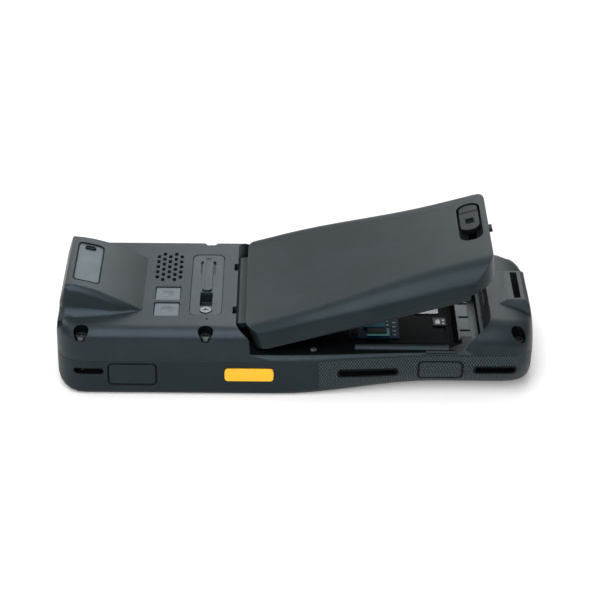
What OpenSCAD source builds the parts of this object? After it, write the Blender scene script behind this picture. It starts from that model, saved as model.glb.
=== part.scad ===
// Portable barcode data terminal, lying on its display, with its battery pack tilted out of the bay.
// +X runs from the scan head to the tail, +Y is the far side and +Z points out of the back.

/* [Body] */
// Overall length of the housing
body_l = 197.2; // [194:0.2:204]
// Width across the scan head
head_w = 79; // [77:1:84]
// Width across the hand grip
grip_w = 73; // [72:0.2:75]
// Height from the display rim to the back
body_h = 29.8; // [29:0.2:32]
// Wall thickness of the two housings
wall = 2; // [1.7:0.1:2.2]
// Height of the parting line at the scan head
seam_z = 15.9; // [15.6:0.1:16.4]
// Width of the parting line groove
seam_gap = 0.2; // [0.1:0.05:0.4]

/* [Scan head] */
// Height of the scan hump above the back
hump_h = 11.6; // [10:0.2:13]
// Width of the hump's top facet at the head end
hump_w = 39.6; // [37:0.2:41]
// Pitch of the speaker holes along a row
speaker_pitch = 4.3; // [3.8:0.1:4.6]
// Width of a speaker slot
speaker_slot_w = 1.5; // [1.1:0.1:1.8]

/* [Battery pack] */
// Angle at which the pack stands open
pack_tilt = 16.4; // [10:0.2:17]
// Gap round the closed pack's cover
cover_gap = 0.3; // [0.25:0.05:0.4]
// Thickness of the pack cover
cover_t = 1.8; // [1.6:0.1:2]
// Width of the battery case
case_w = 57; // [52:0.5:57.5]
// Height of the bay floor above the display rim
bay_floor_z = 12.2; // [12:0.1:12.8]
// Thickness of the front tongue
tongue_t = 2.2; // [1.8:0.1:2.4]
// Thickness of the lip over the tongue
lip_t = 2.4; // [2.2:0.1:2.6]

/* [Latch] */
// Width of the latch recess
latch_w = 10; // [9:0.1:10.4]
// Length of the latch slider
slider_l = 21; // [19:0.5:22]
// Travel of the latch
latch_travel = 8.4; // [6:0.2:9]

/* [Keys and plugs] */
// Length of a side scan key
side_key_l = 20; // [18:0.5:22]
// Height of a side scan key
side_key_h = 5.6; // [5:0.1:6]
// Travel of a side scan key
side_key_travel = 0.8; // [0.5:0.1:1]
// Size of a number key along the terminal
key_l = 7.6; // [7:0.1:8]
// Size of a number key across the terminal
key_w = 11; // [10:0.1:11.4]
// Travel of a number key
key_travel = 0.8; // [0.5:0.1:0.9]
// Clearance round each key
key_gap = 0.25; // [0.2:0.05:0.35]
// Thickness of a port plug
plug_t = 1.5; // [1.3:0.1:1.8]

/* [Hidden] */
$fn = 48;
eps = 0.01;
big = 300;
half_l = body_l / 2;

// Outer form: plan, edge rounding and parting line along the length
waist_x0 = -8;
waist_x1 = 58;
head_corner_r = 12;
head_edge_l = 4;
head_edge_h = 4;
head_foot_l = 10;
head_foot_h = 6;
tail_l = 20;
tail_power = 5;
tail_drop = 7;
tail_drop_l = 24;
tail_rise = 4;
head_edge_y = 6.5;
head_edge_z = 4;
grip_edge_y = 12;
grip_edge_z = 8;
side_draft = 0.5;
head_foot_r = 2.5;
grip_foot_r = 13.5;
seam_rise = 1.9;
foot_steps = 5;
edge_steps = 6;

function smooth(t) = let (c = min(1, max(0, t))) c * c * (3 - 2 * c);
function mix(a, b, t) = a + (b - a) * t;
function waist(x) = smooth((x - waist_x0) / (waist_x1 - waist_x0));
function round_off(t) = 1 - sqrt(max(0, 1 - t * t));
function bow(t, n) = pow(max(0, 1 - pow(t, n)), 1 / n);
function head_t(x, l) = min(1, max(0, (l - half_l - x) / l));
function tail_t(x, l) = min(1, max(0, (x - half_l + l) / l));
function half_w(x) =
    mix(head_w, grip_w, waist(x)) / 2 * bow(tail_t(x, tail_l), tail_power)
    - head_corner_r * round_off(head_t(x, head_corner_r));
function top_z(x) =
    body_h - head_edge_h * round_off(head_t(x, head_edge_l))
    - tail_drop * (1 - bow(tail_t(x, tail_drop_l), 2.2));
function foot_z(x) =
    head_foot_h * round_off(head_t(x, head_foot_l)) + tail_rise * (1 - bow(tail_t(x, tail_l), 4));
function split_z(x) = seam_z + seam_rise * waist(x);

// One section of the body, pulled in by inset all round
function section(x, inset) =
    let (
        w = half_w(x) - inset,
        zt = top_z(x) - inset,
        zf = foot_z(x) + inset,
        room = (zt - zf) / 2 - eps,
        ry = min(mix(head_edge_y, grip_edge_y, waist(x)) - inset, w - 1),
        rz = min(mix(head_edge_z, grip_edge_z, waist(x)) - inset, room),
        rf = min(mix(head_foot_r, grip_foot_r, waist(x)) - inset, room, w - 1),
        foot = [for (i = [0:foot_steps]) let (a = 90 * i / foot_steps)
            [w - rf + rf * sin(a), zf + rf - rf * cos(a)]],
        edge = [for (i = [0:edge_steps]) let (a = 90 * i / edge_steps)
            [w - side_draft - ry + ry * cos(a), zt - rz + rz * sin(a)]],
        half = concat(foot, edge),
        n = len(half)
    )
    concat(half, [for (i = [n - 1:-1:0]) [-half[i][0], half[i][1]]]);

// Skins a list of sections at the stations along X
module loft(stations, sections) {
    n = len(sections[0]);
    m = len(stations);
    points = [for (i = [0:m - 1]) for (p = sections[i]) [stations[i], p[0], p[1]]];
    sides = [for (i = [0:m - 2]) for (j = [0:n - 1]) let (k = (j + 1) % n)
        each [[i * n + j, (i + 1) * n + k, i * n + k], [i * n + j, (i + 1) * n + j, (i + 1) * n + k]]];
    caps = [[for (j = [0:n - 1]) j], [for (j = [n - 1:-1:0]) (m - 1) * n + j]];
    polyhedron(points, concat(sides, caps), convexity = 8);
}

head_stations = [for (a = [90:-15:0]) head_corner_r * (1 - sin(a)) - half_l];
waist_steps = 9;
waist_stations = [for (i = [0:waist_steps]) mix(waist_x0, waist_x1, i / waist_steps)];
tail_steps = [-0.2, 0.1, 0.35, 0.55, 0.7, 0.8, 0.88, 0.94, 0.975, 0.993, 0.999];
tail_stations = [for (t = tail_steps) half_l - tail_l * (1 - t)];
body_stations = concat(head_stations, waist_stations, tail_stations);

// The whole body's outer form, pulled in by inset
module body_form(inset) {
    loft([for (x = body_stations) x + (x < 0 ? 1 : -1) * (abs(x) > half_l - 2 ? inset : 0)],
        [for (x = body_stations) section(x, inset)]);
}

// The body's outline from above, pulled in by inset
module plan(inset) {
    n = len(body_stations);
    side = [for (i = [0:n - 1]) let (x = body_stations[i])
        [x + (i == 0 ? inset : i == n - 1 ? -inset : 0), max(1, half_w(x) - inset)]];
    polygon(concat(side, [for (i = [n - 1:-1:0]) [side[i][0], -side[i][1]]]));
}

module box(x0, x1, y0, y1, z0, z1) {
    translate([x0, y0, z0])
        cube([x1 - x0, y1 - y0, z1 - z0]);
}
// Rectangle with round corners
module rounded(x0, x1, y0, y1, r) {
    translate([x0 + r, y0])
        square([x1 - x0 - 2 * r, y1 - y0]);
    translate([x0, y0 + r])
        square([x1 - x0, y1 - y0 - 2 * r]);
    for (x = [x0 + r, x1 - r], y = [y0 + r, y1 - r])
        translate([x, y])
            circle(r);
}
module plate(x0, x1, y0, y1, r, z0, z1) {
    translate([0, 0, z0])
        linear_extrude(z1 - z0)
            rounded(x0, x1, y0, y1, r);
}
// Extrudes an outline drawn in X and Z along Y, from y0 to y1
module across(y0, y1) {
    translate([0, y1, 0])
        rotate([90, 0, 0])
            linear_extrude(y1 - y0)
                children();
}
// A round hole or rod along Z
module post(x, y, z0, z1, r) {
    translate([x, y, z0])
        cylinder(r = r, h = z1 - z0);
}
// The children and their mirror image across the terminal
module both_sides() {
    children();
    mirror([0, 1, 0])
        children();
}
// Places children on the near side at x, with local Y running inwards
module on_side(x) {
    translate([x, -half_w(x), 0])
        rotate([0, 0, -atan((half_w(x + 1) - half_w(x - 1)) / 2)])
            children();
}
// Region above the parting line, lifted by rise
module above_seam(rise) {
    across(-big, big)
        polygon(concat(
            [[-big, big], [-big, seam_z + rise]],
            [for (x = waist_stations) [x, split_z(x) + rise]],
            [[big, seam_z + seam_rise + rise], [big, big]]));
}

// Scan hump: a wedge with a broad top facet and hollowed sides
hump_l = 36.1;
hump_tip_w = 21.4;
hump_foot_w = 27.5;
hump_flare = 3.5;
hump_edge = 3;
hump_nose = 9;
hump_brow = 0.93;
hump_sink = 1;
hump_x = hump_l + 1 - half_l;
hump_steps = [0.02, 0.14, 0.28, 0.42, 0.56, 0.7, 0.82, 0.9, 0.93, 0.942, 0.96, 1];
function hump_z(t) =
    let (end = max(0, (t - hump_brow) / (1 - hump_brow)))
    body_h - hump_sink + (hump_h + hump_sink) * sin(90 * t) - hump_nose * end * end / (end + 0.08);
function hump_section(t, inset) =
    let (
        plan = half_w(max(-half_l, hump_x - t * hump_l)) - 0.8,
        z = hump_z(t) - inset,
        zb = body_h - 6,
        zf = min(body_h, z - 0.8),
        w = mix(hump_tip_w, hump_w / 2, smooth(t)) - inset,
        f = min(plan, mix(hump_tip_w + 1.4, hump_foot_w, smooth(t * 1.5)) + hump_flare * pow(t, 12)) - inset,
        e = min(hump_edge, 0.45 * (z - zf)),
        side = [[f, zb], [f - 0.1, zf - 0.1], [mix(f, w + e * 0.9, 0.5), mix(zf, z - e, 0.1)],
            [mix(f, w + e * 0.9, 0.82), mix(zf, z - e, 0.36)], [w + e * 0.9, z - e], [w + e * 0.62, z - e * 0.38], [w, z]],
        n = len(side)
    )
    concat([[0, zb]], side, [for (i = [n - 1:-1:0]) [-side[i][0], side[i][1]]]);
module hump_form(inset) {
    n = len(hump_steps);
    ts = [for (i = [n - 1:-1:0]) hump_steps[i]];
    loft([for (t = ts) hump_x - t * (hump_l - inset)], [for (t = ts) hump_section(t, inset)]);
}

// Battery pack: everything turns about one axis above the lip
cover_x0 = -24.5;
cover_z0 = body_h - 10;
cover_end = 79.6;
cover_corner_r = 2;
cover_plan_r = 9;
cover_tail_r = 14;
axis_rise = 13.5;
axis_x = cover_x0 - 0.2;
axis_z = body_h + axis_rise;
cover_r = norm([cover_end - axis_x, axis_rise]);
case_r = 95.6;
case_x0 = cover_x0 + 0.2;
case_z0 = bay_floor_z + 0.8;
case_z1 = body_h - 3.2;
case_step_z = body_h - 6.8;
bay_gap = 0.4;
tongue_gap = 0.2;
tongue_r = axis_rise + lip_t + tongue_gap;
tongue_y = 27;
tongue_angle = 19.4;
tub_t = 1.5;
bay_end = case_r + axis_x;
rim_z = cover_z0 - cover_gap;
rib_h = 1.9;
lip_notch_y = [14.4, -20.9];

module tilted() {
    translate([axis_x, 0, axis_z])
        rotate([0, -pack_tilt, 0])
            translate([-axis_x, 0, -axis_z])
                children();
}
// Drum about the pack's axis
module drum(r, y) {
    translate([axis_x, 0, axis_z])
        rotate([90, 0, 0])
            cylinder(r = r, h = 2 * y, center = true);
}
// Swept end of the pack cover, with round corners, so that it clears the housing as it swings
module cover_sweep(g) {
    y = grip_w / 2 - cover_tail_r;
    translate([axis_x, 0, axis_z])
        rotate([90, 0, 0])
            rotate_extrude() {
                translate([0, -big])
                    square([cover_r - cover_tail_r, 2 * big]);
                translate([0, -y])
                    square([cover_r + g, 2 * y]);
                for (s = [-y, y])
                    translate([cover_r - cover_tail_r, s])
                        intersection() {
                            circle(cover_tail_r + g);
                            translate([-1, -big])
                                square(2 * big);
                        }
            }
}
// Everything above z0 that the pack cover takes up, grown by g
module cover_zone(g, z0) {
    r = cover_corner_r + g;
    x0 = cover_x0 - g;
    y = head_w / 2;
    pr = cover_plan_r;
    intersection() {
        cover_sweep(g);
        across(-big, big) {
            translate([x0, z0 + r])
                square([big, 40]);
            translate([x0 + r, z0])
                square([big, 40]);
            translate([x0 + r, z0 + r])
                circle(r);
        }
        linear_extrude(2 * big)
            union() {
                translate([x0, -y + pr])
                    square([big, 2 * (y - pr)]);
                translate([cover_x0 + pr, -y - 10])
                    square([big, 2 * y + 20]);
                for (s = [-1, 1])
                    translate([cover_x0 + pr, s * (y - pr)])
                        circle(pr + g);
            }
    }
}
// Ring sector about the pack's axis, reaching a degrees forward under the lip
module tongue_zone(r0, r1, a, back, y) {
    across(-y, y)
        translate([axis_x, axis_z])
            polygon(concat(
                [for (i = [0:8]) let (b = mix(-back, a, i / 8)) [-r0 * sin(b), -r0 * cos(b)]],
                [for (i = [8:-1:0]) let (b = mix(-back, a, i / 8)) [-r1 * sin(b), -r1 * cos(b)]]));
}

// Latch, with the pack closed
latch_x = 72;
latch_y1 = 21.5;
slider_gap = 0.3;
slider_w = latch_w - 2;
latch_l = slider_l + latch_travel + 2 * slider_gap + 1;
latch_z = body_h - 2.6;
slider_t = 2;
slider_z = latch_z + 0.15;
latch_floor_t = 1.4;
case_step_x = latch_x - latch_w / 2 - 6;
bolt_y = latch_y1 - slider_gap - slider_l + 5;
bolt_w = 4;
stem_w = 3.2;
bolt_t = 1.5;
bolt_gap = 0.2;
bolt_z1 = latch_z - latch_floor_t - bolt_gap;
bolt_z0 = bolt_z1 - bolt_t;
bolt_x1 = cover_end + 0.9;
keeper_t = 0.8;
bolt_r = norm([bolt_x1 - axis_x, axis_z - bolt_z0]);

// Column of space swept by the bolt, grown by g
module bolt_zone(x0, x1, z0, z1, w, g) {
    box(x0, x1, bolt_y - latch_travel - w / 2 - g, bolt_y + w / 2 + g, z0, z1);
}
module latch_recess(g, z0, z1) {
    plate(latch_x - latch_w / 2 - g, latch_x + latch_w / 2 + g,
        latch_y1 - latch_l - g, latch_y1 + g, latch_w / 2 - 0.5 + g, z0, z1);
}

module battery_cover() {
    color("#3b4144")
        tilted() {
            difference() {
                intersection() {
                    body_form(0);
                    cover_zone(0, cover_z0);
                }
                difference() {
                    intersection() {
                        body_form(cover_t);
                        cover_zone(-cover_t, cover_z0 - 3);
                    }
                    latch_recess(1.3, latch_z - latch_floor_t, big);
                    bolt_zone(latch_x - 5.4, big, bolt_z0 - bolt_gap - keeper_t, big, bolt_w, slider_gap + 1.2);
                    box(cover_x0, case_step_x, -case_w / 2 + 4, case_w / 2 - 4, case_z1, big);
                }
                latch_recess(0, latch_z, big);
                bolt_zone(latch_x - stem_w / 2 - bolt_gap, latch_x + stem_w / 2 + bolt_gap,
                    latch_z - 5, body_h - 1, stem_w, slider_gap);
                bolt_zone(latch_x - 4.4, big, bolt_z0 - bolt_gap, bolt_z1 + bolt_gap, bolt_w, slider_gap);
            }
            tongue_zone(tongue_r, tongue_r + tongue_t, tongue_angle, 4, tongue_y);
        }
}

// Terminal notch in the battery case
notch_x = bay_end - 16.9;
notch_y0 = -8.6;
notch_y1 = 2.4;
notch_z = case_z0 + 4;
contact_t = 0.3;

module battery_case() {
    color("#2b2f31")
        tilted()
            difference() {
                intersection() {
                    plate(case_x0, big, -case_w / 2, case_w / 2, 5, case_z0, case_z1);
                    drum(case_r, big);
                }
                box(case_step_x, big, -big, big, case_step_z, big);
                box(notch_x, big, notch_y0, notch_y1, 0, notch_z);
                box(case_x0 - 1, cover_x0 + cover_t + 4, -big, big, cover_z0, big);
                across(-big, big)
                    polygon([[case_x0 - 1, case_z0 - 1], [case_x0 + 3, case_z0 - 1], [case_x0 - 1, case_z0 + 3]]);
            }
}

// Contact strips, spaced across the notch
strip_n = 4;
strip_w = 1.4;
strip_pitch = 2;
function strip_y(i) = (notch_y0 + notch_y1) / 2 + (i - (strip_n - 1) / 2) * strip_pitch;

module battery_contacts() {
    color("#d8b25a")
        tilted()
            for (i = [0:strip_n - 1])
                box(notch_x + 3, notch_x + 10, strip_y(i) - strip_w / 2, strip_y(i) + strip_w / 2,
                    notch_z - contact_t, notch_z);
}

module latch_slider() {
    y1 = latch_y1 - slider_gap;
    y0 = y1 - slider_l;
    color("#34393b")
        tilted() {
            difference() {
                plate(latch_x - slider_w / 2, latch_x + slider_w / 2, y0, y1, slider_w / 2 - 0.4,
                    slider_z, slider_z + slider_t);
                box(latch_x - 1.9, latch_x + 1.9, y0 + 5.2, y0 + 9.5, slider_z + 0.7, big);
                across(y1 - 6.5, y1 - 5.7)
                    translate([latch_x - slider_w, slider_z + slider_t - 0.5])
                        square([2 * slider_w, 2]);
            }
            box(latch_x - stem_w / 2, latch_x + stem_w / 2, bolt_y - stem_w / 2, bolt_y + stem_w / 2,
                bolt_z1 - eps, slider_z + eps);
            box(latch_x - 2.6, bolt_x1, bolt_y - bolt_w / 2, bolt_y + bolt_w / 2, bolt_z0, bolt_z1);
        }
}

// Screws through the back, on both sides
screw_recess_r = 3.1;
screw_head_r = 2.3;
screw_head_h = 1.7;
screw_r = 1;
screw_tip_z = 5.6;
head_screw_y = head_w / 2 - 3.2;
head_seat_z = body_h - 4.6;
tail_seat_z = body_h - 8.4;
// Each spot has its X, Y and the height of the screw's seat
screw_spots = [[11 - half_l, head_screw_y, head_seat_z], [-37, head_screw_y, head_seat_z],
    [half_l - 7.6, 31, tail_seat_z]];

// Speaker grille, option covers and strap panel on the back
speaker_x = hump_x + 7.5;
speaker_y = 14.3;
speaker_rows = [5, 6, 5, 6, 5];
row_pitch = 2.45;
speaker_slot_l = 2.6;
option_x0 = hump_x + 2.5;
option_size = 10.8;
option_depth = 1.2;
option_gap = 0.45;
option_far_y = -7.6;
option_near_y = -20.3;
panel_x0 = -44.3;
panel_x1 = -30.7;
panel_y0 = -25;
panel_y1 = 25;
panel_r = 3;
panel_depth = 0.9;
panel_gap = 0.35;
bar_x = -37.5;
bar_w = 4.2;
bar_y0 = -6;
bar_y1 = 21.6;
pocket_z = body_h - 5;
pocket_y0 = -17.6;
pocket_y1 = bar_y0 - 0.6;
strap_screw_y = -21;
strap_screw_r = 2.3;

// Hump plate, scanner window and tail lug
plate_x0 = hump_x - 30.4;
plate_x1 = hump_x - 20.4;
plate_y = 15.2;
plate_r = 1.5;
plate_t = 0.7;
plate_sunk = 0.5;
window_y = 15;
window_z0 = body_h - 10;
window_z1 = body_h + 1.5;
window_t = 1.2;
window_sunk = 1.3;
head_x = -half_l;
lug_x = half_l - 17;
lug_w = 12.6;
lug_rise = 0.9;
lug_slot_x = half_l - 7.8;
lug_slot_w = 2.8;
lug_slot_y = 10.6;
lug_slot_z = body_h - 10;

module hump_pocket(margin, depth) {
    difference() {
        plate(plate_x0 - margin, plate_x1 + margin, -plate_y - margin, plate_y + margin, plate_r + margin,
            body_h + 2, body_h + 2 * hump_h);
        hump_form(depth);
    }
}

// Block that the battery bay is cut into
module tub() {
    y = case_w / 2 + bay_gap + tub_t;
    box(cover_x0 - wall, cover_end + 1, -y, y, bay_floor_z - tub_t, rim_z);
}
// Solid parts that stand inside the rear housing
module rear_inside() {
    cover_zone(cover_gap + wall, rim_z - wall);
    tub();
    tongue_zone(tongue_r - tongue_gap, tongue_r + tongue_t + 1.4, tongue_angle + 5, 0, tongue_y + 1.6);
    box(lug_slot_x - 3, half_l, -lug_w, lug_w, lug_slot_z - 2, body_h);
    plate(panel_x0 - 1.5, panel_x1 + 1.5, panel_y0 - 1.5, panel_y1 + 1.5, panel_r, body_h - wall - 1.4, body_h);
    box(bar_x - 4, bar_x + 4, pocket_y0 - 2, pocket_y1 + 2, pocket_z - 1.4, body_h);
    box(-big, head_x + 4, -window_y - 2, window_y + 2, window_z0 - 2, window_z1 + 2);
    bolt_zone(cover_end, bolt_x1 + 3, bolt_z0 - 2, big, bolt_w, 2);
    both_sides()
        for (s = screw_spots)
            post(s[0], s[1], 0, big, 4.2);
}

// Rib along both sides of the bay that the cover closes over
module rim_rib() {
    y = grip_w / 2 - cover_t - 0.5;
    both_sides()
        box(24, cover_end - cover_tail_r - 3, y - 1.2, y, rim_z - 1, rim_z + rib_h);
}

// Strap lug on the tail, with sloping flanks
module strap_lug() {
    top = body_h + lug_rise;
    intersection() {
        across(-big, big)
            polygon([[lug_x, seam_z + 4], [lug_x, body_h - 1.6], [lug_x + 6, top], [half_l - 3.4, top],
                [half_l - 1.6, top - 1.4], [half_l - 0.8, top - 6], [half_l - 0.8, seam_z + 4]]);
        rotate([90, 0, 90])
            linear_extrude(big)
                polygon([[-lug_w - 6, seam_z + 4], [-lug_w - 5, body_h - 7], [-lug_w, top - 0.7], [-lug_w + 0.9, top],
                    [lug_w - 0.9, top], [lug_w, top - 0.7], [lug_w + 5, body_h - 7], [lug_w + 6, seam_z + 4]]);
    }
}

module rear_housing() {
    bay_y = case_w / 2 + bay_gap;
    color("#4b5356")
        difference() {
            union() {
                intersection() {
                    body_form(0);
                    above_seam(seam_gap / 2);
                }
                hump_form(0);
                tub();
                strap_lug();
                rim_rib();
            }
            difference() {
                union() {
                    intersection() {
                        body_form(wall);
                        above_seam(0);
                    }
                    hump_form(wall);
                }
                rear_inside();
            }
            difference() {
                cover_zone(cover_gap, rim_z);
                rim_rib();
            }
            // Bay, with its shelf and pocket behind the battery case
            intersection() {
                box(cover_x0 - cover_gap, big, -bay_y, bay_y, bay_floor_z, body_h);
                drum(case_r + bay_gap, big);
            }
            box(bay_end - 7.9, bay_end - 5.6, -20, 20, bay_floor_z - 0.8, body_h);
            box(bay_end - 8, bay_end + 2, -23, 21, rim_z - 2.5, body_h);
            box(bay_end + 2, cover_end - 3, -25, 19, bay_floor_z + 2, body_h);
            // Bolt entry and undercut in the tail wall
            intersection() {
                box(cover_end - 2, big, bolt_y - bolt_w / 2 - 0.6, bolt_y + bolt_w / 2 + 0.6, bolt_z0 - 0.4, big);
                drum(bolt_r + 0.4, big);
            }
            intersection() {
                bolt_zone(cover_end - 2, big, bolt_z0 - 0.4, bolt_z1 + 0.3, bolt_w, 0.6);
                drum(bolt_r + 0.4, big);
            }
            tongue_zone(tongue_r - tongue_gap, tongue_r + tongue_t + tongue_gap, tongue_angle + 1.5, 3, tongue_y + 0.4);
            for (y = lip_notch_y)
                box(cover_x0 - cover_gap - 1.6, cover_x0, y - 2.8, y + 2.8, axis_z - tongue_r, big);
            both_sides() {
                for (s = screw_spots) {
                    post(s[0], s[1], s[2], big, screw_recess_r);
                    post(s[0], s[1], 0, big, screw_r + 0.3);
                }
                box(53, 66, grip_w / 2 - 1.6, grip_w / 2 + 1, rim_z - 0.8, rim_z + 1);
                post(7, head_w / 2 - 5, rim_z - 1.2, rim_z + 1, 1.3);
            }
            // Speaker slots
            for (c = [0:4], i = [0:speaker_rows[c] - 1])
                translate([speaker_x + (c - 2) * row_pitch, speaker_y + (i - (speaker_rows[c] - 1) / 2) * speaker_pitch, 0])
                    plate(-speaker_slot_w / 2, speaker_slot_w / 2, -speaker_slot_l / 2, speaker_slot_l / 2,
                        speaker_slot_w / 2 - 0.2, body_h - 3, body_h + 1);
            for (y = [option_far_y, option_near_y])
                plate(option_x0, option_x0 + option_size, y - option_size / 2, y + option_size / 2, 0.8,
                    body_h - option_depth, body_h + 1);
            // Strap panel recess, pocket, screw hole and the pinhole beside it
            plate(panel_x0, panel_x1, panel_y0, panel_y1, panel_r, body_h - panel_depth, body_h + 1);
            box(bar_x - 2.6, bar_x + 2.6, pocket_y0, pocket_y1, pocket_z, body_h);
            post(bar_x, strap_screw_y, body_h - 3, body_h, 1);
            post(bar_x + 0.7, -28, body_h - 3, body_h + 1, 0.5);
            hump_pocket(0.4, plate_sunk + plate_t);
            box(-big, head_x + window_sunk + window_t, -window_y, window_y, window_z0, window_z1);
            box(-big, head_x + 6, -window_y + 2, window_y - 2, window_z0 + 1.5, window_z1 - 1.5);
            // Strap slot through the tail lug
            box(lug_slot_x, lug_slot_x + lug_slot_w, -lug_slot_y, lug_slot_y, lug_slot_z, big);
            box(lug_slot_x, big, -lug_slot_y, lug_slot_y, lug_slot_z, lug_slot_z + lug_slot_w);
        }
}

// Openings and recesses of the front housing
glass_x0 = 10 - half_l;
glass_x1 = 4;
glass_y = head_w / 2 - 8;
glass_z = 0.3;
glass_t = 1.5;
glass_gap = 0.2;
glass_seat_z = glass_z + glass_t;
screen_x0 = glass_x0 + 7;
screen_x1 = glass_x1 - 7;
screen_y = glass_y - 6;
deck_z = 4.6;
pad_floor_z = 1.9;
pad_x0 = 13;
pad_x1 = half_l - 13;
pad_y = 21.6;
key_z = 0.4;
flange_t = 0.8;
flange_over = 0.8;
flange_z = deck_z + 0.15;
row_x = [for (i = [0:3]) 38 + i * (key_l + 4)];
col_y = [for (i = [-1:1]) i * (key_w + 3)];
scan_key_x = 23;
scan_key_l = 10;
scan_key_w = 17;
function_y = 16.2;
function_w = 8.6;
side_key_x = -19.3;
side_key_z = 10.1;
side_key_proud = 0.5;
slot_depth = 2.2;
side_flange_gap = 0.5;
plug_gap = 0.3;
plug_r = 1.8;
head_plug = [-76.8, -57.4, 5.1, 14.6];
grip_plug = [50.4, 68.2, 6.3, 15.1];
side_slots = [[-91, -79, 10, 12.4], [17.6, 41.4, 9.1, 11.6], [73.6, 90, 9.8, 12.6]];
board_y = head_w / 2 - 8.8;
board_z = 8.9;
board_t = 1;
pad_board_z = flange_z + flange_t + key_travel + 0.15;
pad_board_t = 0.9;
stand_r = 1.7;
board_stands = [[glass_x0 + 4, board_y - 2], [glass_x1 + 4, board_y - 2]];
pad_stands = [[16, 25.4], [80, 17]];

// What lies within depth of the near side, over the window p of X and Z less the gap g, with corners of radius r
module side_patch(p, g, depth, r) {
    mid = (p[0] + p[1]) / 2;
    xs = [p[0] - 1, mid, p[1] + 1];
    difference() {
        across(-big, -half_w(mid) / 2)
            rounded(p[0] + g, p[1] - g, p[2] + g, p[3] - g, r - g);
        loft(xs, [for (x = xs) section(x, depth)]);
    }
}

// Openings for the keys, grown by g
module each_key() {
    for (x = row_x, y = col_y)
        translate([x, y])
            children();
}
module key_opening(x, y, l, w) {
    plate(x - l / 2 - key_gap, x + l / 2 + key_gap, y - w / 2 - key_gap, y + w / 2 + key_gap, 1.5 + key_gap,
        0, deck_z + 1);
}

module front_housing() {
    color("#3c4245")
        difference() {
            difference() {
                body_form(0);
                above_seam(-seam_gap / 2);
            }
            difference() {
                intersection() {
                    body_form(wall);
                    box(-big, big, -big, big, deck_z, big);
                }
                both_sides() {
                    for (s = screw_spots)
                        post(s[0], s[1], 0, big, 3.4);
                    for (s = board_stands)
                        post(s[0], s[1], 0, board_z, stand_r);
                    for (s = pad_stands)
                        post(s[0], s[1], 0, pad_board_z, stand_r);
                }
                for (p = concat(side_slots, [head_plug, grip_plug]))
                    on_side((p[0] + p[1]) / 2)
                        box((p[0] - p[1]) / 2 - 1, (p[1] - p[0]) / 2 + 1, -1, 4, 0, p[3] + 1);
            }
            both_sides()
                for (s = screw_spots)
                    post(s[0], s[1], screw_tip_z - 0.5, big, screw_r + 0.04);
            // Side recesses for plugs and slots
            for (p = side_slots)
                side_patch(p, 0, slot_depth, 1.1);
            for (p = [head_plug, grip_plug])
                side_patch(p, 0, plug_t, plug_r);
            // Openings for the side scan keys
            both_sides()
                on_side(side_key_x)
                    plate_side(side_key_l + 2 * key_gap, side_key_h + 2 * key_gap, -1, wall + 1);
            // Display window
            plate(glass_x0 - glass_gap, glass_x1 + glass_gap, -glass_y - glass_gap, glass_y + glass_gap, 4,
                -1, glass_seat_z);
            plate(screen_x0, screen_x1, -screen_y, screen_y, 2, 0, deck_z + 1);
            // Keypad recess and key openings
            plate(pad_x0, pad_x1, -pad_y, pad_y, 6, -1, pad_floor_z);
            for (x = row_x, y = col_y)
                key_opening(x, y, key_l, key_w);
            key_opening(scan_key_x, 0, scan_key_l, scan_key_w);
            both_sides()
                key_opening(scan_key_x, function_y, key_l, function_w);
        }
}
// Plate standing on edge, with its round ends along X, from y0 to y1
module plate_side(l, h, y0, y1) {
    across(y0, y1)
        translate([0, side_key_z])
            rounded(-l / 2, l / 2, -h / 2, h / 2, 1.5);
}

module housing_seal() {
    color("#17191a")
        difference() {
            above_seam(-seam_gap / 2);
            above_seam(seam_gap / 2);
            linear_extrude(body_h)
                difference() {
                    square(2 * big, center = true);
                    plan(0.7);
                }
            linear_extrude(body_h)
                plan(1.4);
        }
}

module housing_screws() {
    color("#b9bcbe")
        both_sides()
            for (s = screw_spots) {
                difference() {
                    post(s[0], s[1], s[2], s[2] + screw_head_h, screw_head_r);
                    translate([s[0], s[1], s[2] + 0.7])
                        cylinder(r = 1.1, h = 3, $fn = 6);
                }
                post(s[0], s[1], screw_tip_z, s[2], screw_r);
            }
}

module hump_plate() {
    color("#7b8287")
        difference() {
            intersection() {
                plate(plate_x0, plate_x1, -plate_y, plate_y, plate_r, body_h + 2, body_h + 2 * hump_h);
                hump_form(plate_sunk);
            }
            hump_form(plate_sunk + plate_t);
        }
}

module scanner_window() {
    color("#5a0f14")
        box(head_x + window_sunk, head_x + window_sunk + window_t, -window_y, window_y, window_z0, window_z1);
}

engine_x0 = head_x + 7;
engine_z0 = body_h - 8;
module scan_engine() {
    color("#1d2022")
        difference() {
            box(engine_x0, engine_x0 + 13, -11, 11, engine_z0, body_h + 3);
            translate([engine_x0 - 1, 5, body_h - 2.5])
                rotate([0, 90, 0])
                    cylinder(r = 3, h = 4);
            box(engine_x0 - 1, engine_x0 + 3, -9, -1, body_h - 6, body_h + 1);
        }
}
module engine_bracket() {
    color("#8d9295")
        difference() {
            box(engine_x0 + 1, engine_x0 + 12, -9, 9, board_z + board_t, engine_z0);
            box(engine_x0 + 2.5, engine_x0 + 10.5, -10, 10, board_z + board_t - 1, engine_z0 - 1.5);
        }
}

module speaker() {
    color("#202325")
        difference() {
            post(speaker_x, speaker_y, body_h - wall - 3.4, body_h - wall, 7.6);
            post(speaker_x, speaker_y, body_h - wall - 0.8, body_h, 6.4);
        }
}

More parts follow.
